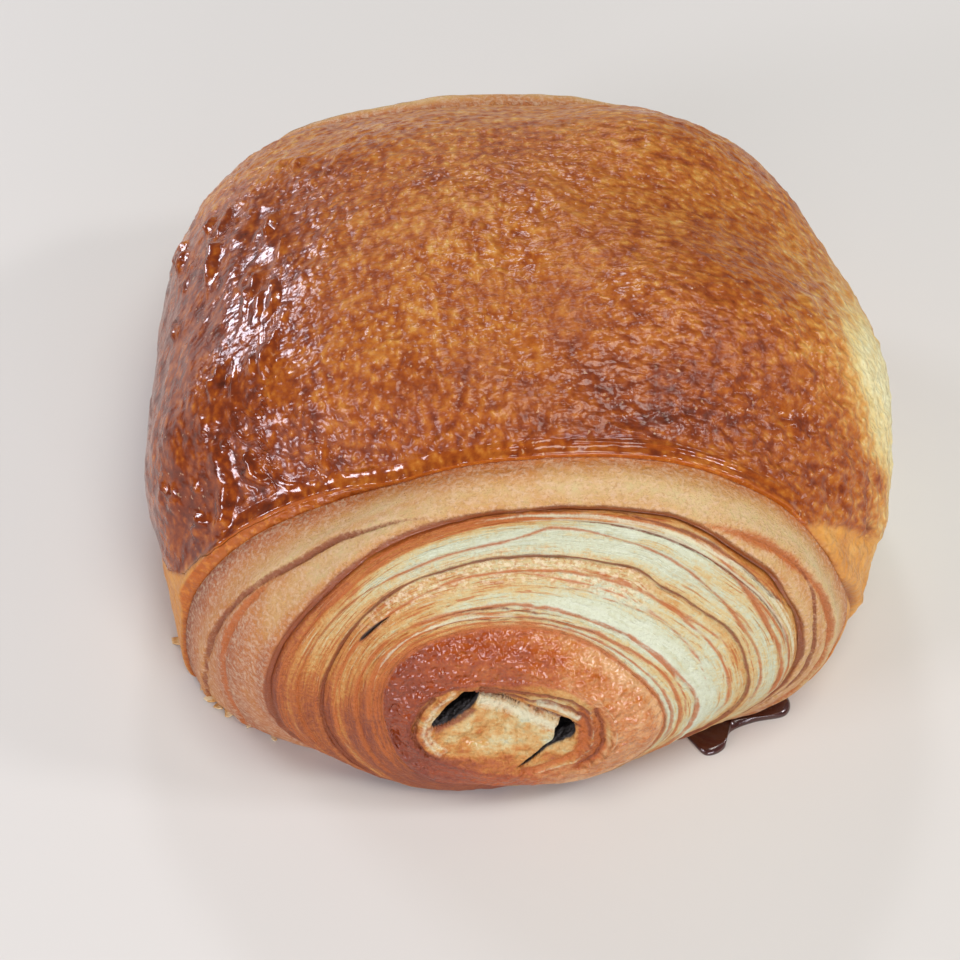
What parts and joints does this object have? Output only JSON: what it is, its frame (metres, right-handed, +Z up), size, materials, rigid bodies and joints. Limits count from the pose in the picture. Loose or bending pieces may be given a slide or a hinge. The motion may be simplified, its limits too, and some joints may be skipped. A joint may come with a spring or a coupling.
{
  "type": "pain au chocolat",
  "caption": "Rolled laminated pastry with a glazed crust, stepped layers at its ends and batons of chocolate through the roll.",
  "frame": {"origin": "under the middle of the roll, on the plane it rests on", "axes": "X across the roll, +Y along the roll away from the end that the picture shows, +Z up"},
  "size_m": [0.0934, 0.0966, 0.049],
  "materials": {
    "pastry": "baked, glazed crust over matt layers",
    "chocolate": "dark chocolate, semi gloss",
    "leaked_chocolate": "set chocolate, glossy"
  },
  "bodies": {
    "root": {"pastry": "pastry", "chocolate_baton_left": "chocolate", "chocolate_baton_right": "chocolate", "leaked_chocolate": "leaked_chocolate"}
  },
  "joints": []
}
